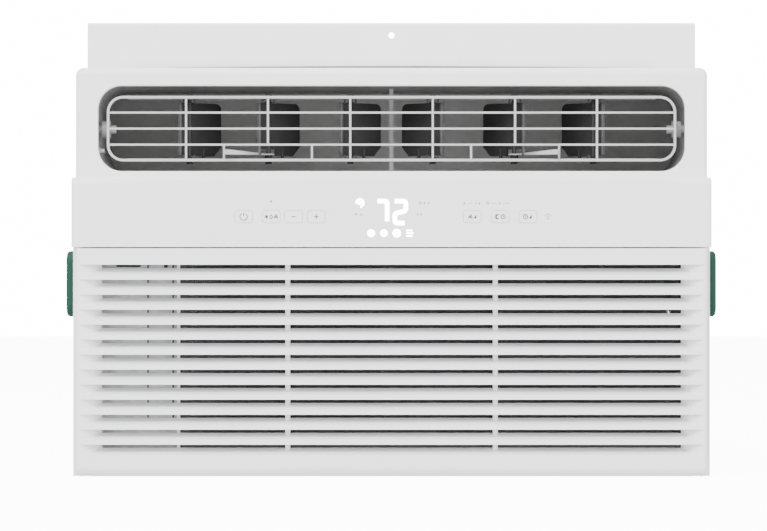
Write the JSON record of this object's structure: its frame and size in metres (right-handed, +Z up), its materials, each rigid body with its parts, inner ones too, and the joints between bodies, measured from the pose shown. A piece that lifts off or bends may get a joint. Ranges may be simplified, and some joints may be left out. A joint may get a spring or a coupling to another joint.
{
  "type": "window air conditioner",
  "caption": "Box-shaped window air conditioner with a slatted intake door, tilting louver grille with turning vanes, push keys, side handles and a top mounting rail.",
  "frame": {"origin": "centre of the bounding box, on the plane of the base pan underside", "axes": "X across the unit left to right seen from the room, Y from the room side to the outdoor side, Z up"},
  "size_m": [0.4928, 0.405, 0.338],
  "materials": {
    "white_panel": "satin moulded",
    "key_white": "satin moulded",
    "case_paint": "satin powder coat",
    "rail_paint": "satin powder coat",
    "galvanised": "galvanised sheet",
    "louver_grey": "satin moulded",
    "vane_dark": "matt moulded",
    "duct_dark": "matt moulded",
    "handle_green": "satin moulded",
    "screw_steel": "zinc plated",
    "rubber_black": "matt",
    "fin_aluminium": "mill",
    "copper": "drawn copper",
    "black_paint": "semi-gloss",
    "black_plastic": "matt moulded",
    "foam_white": "expanded bead foam",
    "filter_frame": "matt moulded",
    "filter_mesh": "woven nylon net",
    "board_green": "solder mask",
    "display_lens": "translucent, lit from inside",
    "capacitor_can": "drawn can"
  },
  "bodies": {
    "cabinet": {"accumulator": "black_paint", "air_scroll": "foam_white", "base_pan": "galvanised", "bulkhead": "galvanised", "cabinet_screws": "screw_steel", "capillary_tube": "copper", "compressor_grommets": "rubber_black", "compressor_shell": "black_paint", "compressor_studs": "screw_steel", "condenser_fins": "fin_aluminium", "condenser_tubes": "copper", "control_board": "board_green", "control_box": "galvanised", "control_box_cover": "galvanised", "cord_gland": "rubber_black", "discharge_duct": "duct_dark", "discharge_line": "copper", "display_module": "display_lens", "door_hinge_pins": "screw_steel", "drip_tray": "foam_white", "evaporator_fins": "fin_aluminium", "evaporator_tubes": "copper", "fan_motor": "black_paint", "fan_shroud": "galvanised", "front_panel": "white_panel", "handle_left": "handle_green", "handle_right": "handle_green", "louver_detent": "louver_grey", "motor_bracket": "galvanised", "outer_case": "case_paint", "rear_guard": "case_paint", "run_capacitor": "capacitor_can", "suction_line": "copper", "terminal_cover": "black_plastic", "top_rail": "rail_paint"},
    "intake_door": {"intake_door": "white_panel"},
    "air_filter": {"filter_frame": "filter_frame", "filter_mesh": "filter_mesh"},
    "louver": {"louver_grille": "louver_grey"},
    "fan_rotor": {"motor_shaft": "screw_steel", "blower_wheel": "black_plastic", "condenser_fan": "black_plastic"},
    "vane_left_outer": {"vane_left_outer": "vane_dark"},
    "vane_left_middle": {"vane_left_middle": "vane_dark", "lever_left": "louver_grey"},
    "vane_left_inner": {"vane_left_inner": "vane_dark"},
    "tie_bar_left": {"tie_bar_left": "vane_dark"},
    "vane_right_outer": {"vane_right_outer": "vane_dark"},
    "vane_right_middle": {"vane_right_middle": "vane_dark", "lever_right": "louver_grey"},
    "vane_right_inner": {"vane_right_inner": "vane_dark"},
    "tie_bar_right": {"tie_bar_right": "vane_dark"},
    "key_power": {"key_power": "key_white"},
    "key_mode": {"key_mode": "key_white"},
    "key_minus": {"key_minus": "key_white"},
    "key_plus": {"key_plus": "key_white"},
    "key_fan": {"key_fan": "key_white"},
    "key_sleep": {"key_sleep": "key_white"},
    "key_timer": {"key_timer": "key_white"}
  },
  "joints": [
    {"name": "door_hinge", "type": "hinge", "parent": "cabinet", "child": "intake_door", "pos_m": [0, -0.195, 0.013], "axis": [1, 0, 0], "range_deg": [0, 75]},
    {"name": "filter_slide", "type": "slide", "parent": "intake_door", "child": "air_filter", "axis": [1, 0, 0], "range_m": [0, 0.39]},
    {"name": "louver_tilt", "type": "hinge", "parent": "cabinet", "child": "louver", "pos_m": [0, -0.171, 0.2567], "axis": [1, 0, 0], "range_deg": [-20, 20]},
    {"name": "fan_spin", "type": "hinge", "parent": "cabinet", "child": "fan_rotor", "pos_m": [-0.02, 0, 0.132], "axis": [0, 1, 0], "continuous": true},
    {"name": "vane_left_middle_turn", "type": "hinge", "parent": "louver", "child": "vane_left_middle", "pos_m": [-0.091, -0.171, 0.2567], "axis": [0, 0, 1], "range_deg": [0, 90]},
    {"name": "vane_left_outer_turn", "type": "hinge", "parent": "louver", "child": "vane_left_outer", "pos_m": [-0.1495, -0.171, 0.2567], "axis": [0, 0, 1], "range_deg": [0, 90]},
    {"name": "vane_left_inner_turn", "type": "hinge", "parent": "louver", "child": "vane_left_inner", "pos_m": [-0.0304, -0.171, 0.2567], "axis": [0, 0, 1], "range_deg": [0, 90]},
    {"name": "tie_bar_left_pivot", "type": "hinge", "parent": "vane_left_middle", "child": "tie_bar_left", "pos_m": [-0.0811, -0.1611, 0.2348], "axis": [0, 0, 1], "range_deg": [-90, 0]},
    {"name": "vane_right_middle_turn", "type": "hinge", "parent": "louver", "child": "vane_right_middle", "pos_m": [0.091, -0.171, 0.2567], "axis": [0, 0, 1], "range_deg": [-90, 0]},
    {"name": "vane_right_outer_turn", "type": "hinge", "parent": "louver", "child": "vane_right_outer", "pos_m": [0.1495, -0.171, 0.2567], "axis": [0, 0, 1], "range_deg": [-90, 0]},
    {"name": "vane_right_inner_turn", "type": "hinge", "parent": "louver", "child": "vane_right_inner", "pos_m": [0.0304, -0.171, 0.2567], "axis": [0, 0, 1], "range_deg": [-90, 0]},
    {"name": "tie_bar_right_pivot", "type": "hinge", "parent": "vane_right_middle", "child": "tie_bar_right", "pos_m": [0.0811, -0.1611, 0.2348], "axis": [0, 0, 1], "range_deg": [0, 90]},
    {"name": "key_power_press", "type": "slide", "parent": "cabinet", "child": "key_power", "axis": [0, 1, 0], "range_m": [0, 0.0008], "stiffness_N_per_m": 400},
    {"name": "key_mode_press", "type": "slide", "parent": "cabinet", "child": "key_mode", "axis": [0, 1, 0], "range_m": [0, 0.0008], "stiffness_N_per_m": 400},
    {"name": "key_minus_press", "type": "slide", "parent": "cabinet", "child": "key_minus", "axis": [0, 1, 0], "range_m": [0, 0.0008], "stiffness_N_per_m": 400},
    {"name": "key_plus_press", "type": "slide", "parent": "cabinet", "child": "key_plus", "axis": [0, 1, 0], "range_m": [0, 0.0008], "stiffness_N_per_m": 400},
    {"name": "key_fan_press", "type": "slide", "parent": "cabinet", "child": "key_fan", "axis": [0, 1, 0], "range_m": [0, 0.0008], "stiffness_N_per_m": 400},
    {"name": "key_sleep_press", "type": "slide", "parent": "cabinet", "child": "key_sleep", "axis": [0, 1, 0], "range_m": [0, 0.0008], "stiffness_N_per_m": 400},
    {"name": "key_timer_press", "type": "slide", "parent": "cabinet", "child": "key_timer", "axis": [0, 1, 0], "range_m": [0, 0.0008], "stiffness_N_per_m": 400}
  ],
  "couplings": [
    {"joint": "vane_left_outer_turn", "follows": "vane_left_middle_turn", "ratio": 1},
    {"joint": "vane_left_inner_turn", "follows": "vane_left_middle_turn", "ratio": 1},
    {"joint": "tie_bar_left_pivot", "follows": "vane_left_middle_turn", "ratio": -1},
    {"joint": "vane_right_outer_turn", "follows": "vane_right_middle_turn", "ratio": 1},
    {"joint": "vane_right_inner_turn", "follows": "vane_right_middle_turn", "ratio": 1},
    {"joint": "tie_bar_right_pivot", "follows": "vane_right_middle_turn", "ratio": -1}
  ]
}
